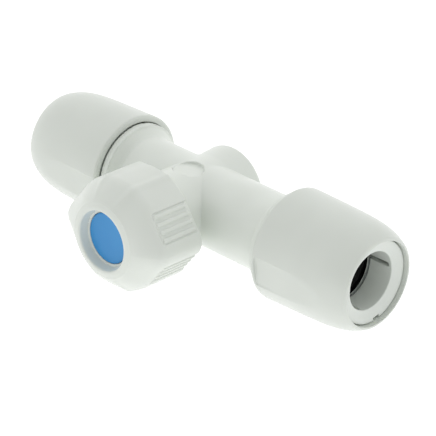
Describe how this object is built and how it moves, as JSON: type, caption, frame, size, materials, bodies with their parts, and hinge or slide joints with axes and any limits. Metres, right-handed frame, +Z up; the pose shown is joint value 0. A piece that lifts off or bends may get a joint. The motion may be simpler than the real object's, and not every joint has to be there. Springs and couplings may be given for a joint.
{
  "type": "push-fit stop valve",
  "caption": "White plastic in-line stop valve with a push-fit pipe socket at each end and a side-mounted knob that screws a washered jumper onto its seat.",
  "frame": {"origin": "middle of the outline in X and Y, on the surface that the valve lies on", "axes": "+X along the run towards the right-hand pipe socket, -Y along the valve axis towards the knob, +Z up"},
  "size_m": [0.1646, 0.0719, 0.0436],
  "materials": {
    "body_plastic": "satin moulded off-white plastic",
    "cap_plastic": "satin moulded off-white plastic",
    "knob_plastic": "satin moulded off-white plastic",
    "collet_plastic": "smooth moulded acetal",
    "blue_plastic": "satin blue plastic",
    "black_plastic": "black acetal",
    "seal_rubber": "greased black rubber",
    "brass": "turned brass",
    "steel": "stainless steel"
  },
  "bodies": {
    "body": {"valve_body": "body_plastic", "seat_ring": "brass", "bonnet": "brass", "bonnet_seal": "seal_rubber", "gland_nut": "brass", "gland_seal": "seal_rubber", "right_spacer": "black_plastic", "right_o_ring": "seal_rubber", "left_spacer": "black_plastic", "left_o_ring": "seal_rubber"},
    "valve_head": {"jumper": "brass", "jumper_washer": "seal_rubber", "washer_nut": "brass"},
    "knob_assembly": {"knob": "knob_plastic", "knob_screw": "steel", "indicator_disc": "blue_plastic", "spindle": "brass", "spindle_seals": "seal_rubber"},
    "right_end_cap": {"right_cap": "cap_plastic"},
    "right_release": {"right_collet": "collet_plastic", "right_grab_ring": "steel"},
    "left_end_cap": {"left_cap": "cap_plastic"},
    "left_release": {"left_collet": "collet_plastic", "left_grab_ring": "steel"}
  },
  "joints": [
    {"name": "jumper_lift", "type": "slide", "parent": "body", "child": "valve_head", "axis": [0, -1, 0], "range_m": [0, 0.0051]},
    {"name": "knob_turn", "type": "hinge", "parent": "valve_head", "child": "knob_assembly", "pos_m": [-0.006, 0.01425, 0.0218], "axis": [0, -1, 0], "range_deg": [0, 900]},
    {"name": "right_cap_twist", "type": "hinge", "parent": "body", "child": "right_end_cap", "pos_m": [0.06, 0.01425, 0.0218], "axis": [1, 0, 0], "range_deg": [0, 90]},
    {"name": "left_cap_twist", "type": "hinge", "parent": "body", "child": "left_end_cap", "pos_m": [-0.06, 0.01425, 0.0218], "axis": [-1, 0, 0], "range_deg": [0, 90]},
    {"name": "right_collet_push", "type": "slide", "parent": "right_end_cap", "child": "right_release", "axis": [-1, 0, 0], "range_m": [0, 0.0015]},
    {"name": "left_collet_push", "type": "slide", "parent": "left_end_cap", "child": "left_release", "axis": [1, 0, 0], "range_m": [0, 0.0015]}
  ],
  "couplings": [
    {"joint": "jumper_lift", "follows": "knob_turn", "m_per_rad": 0.00031831}
  ]
}
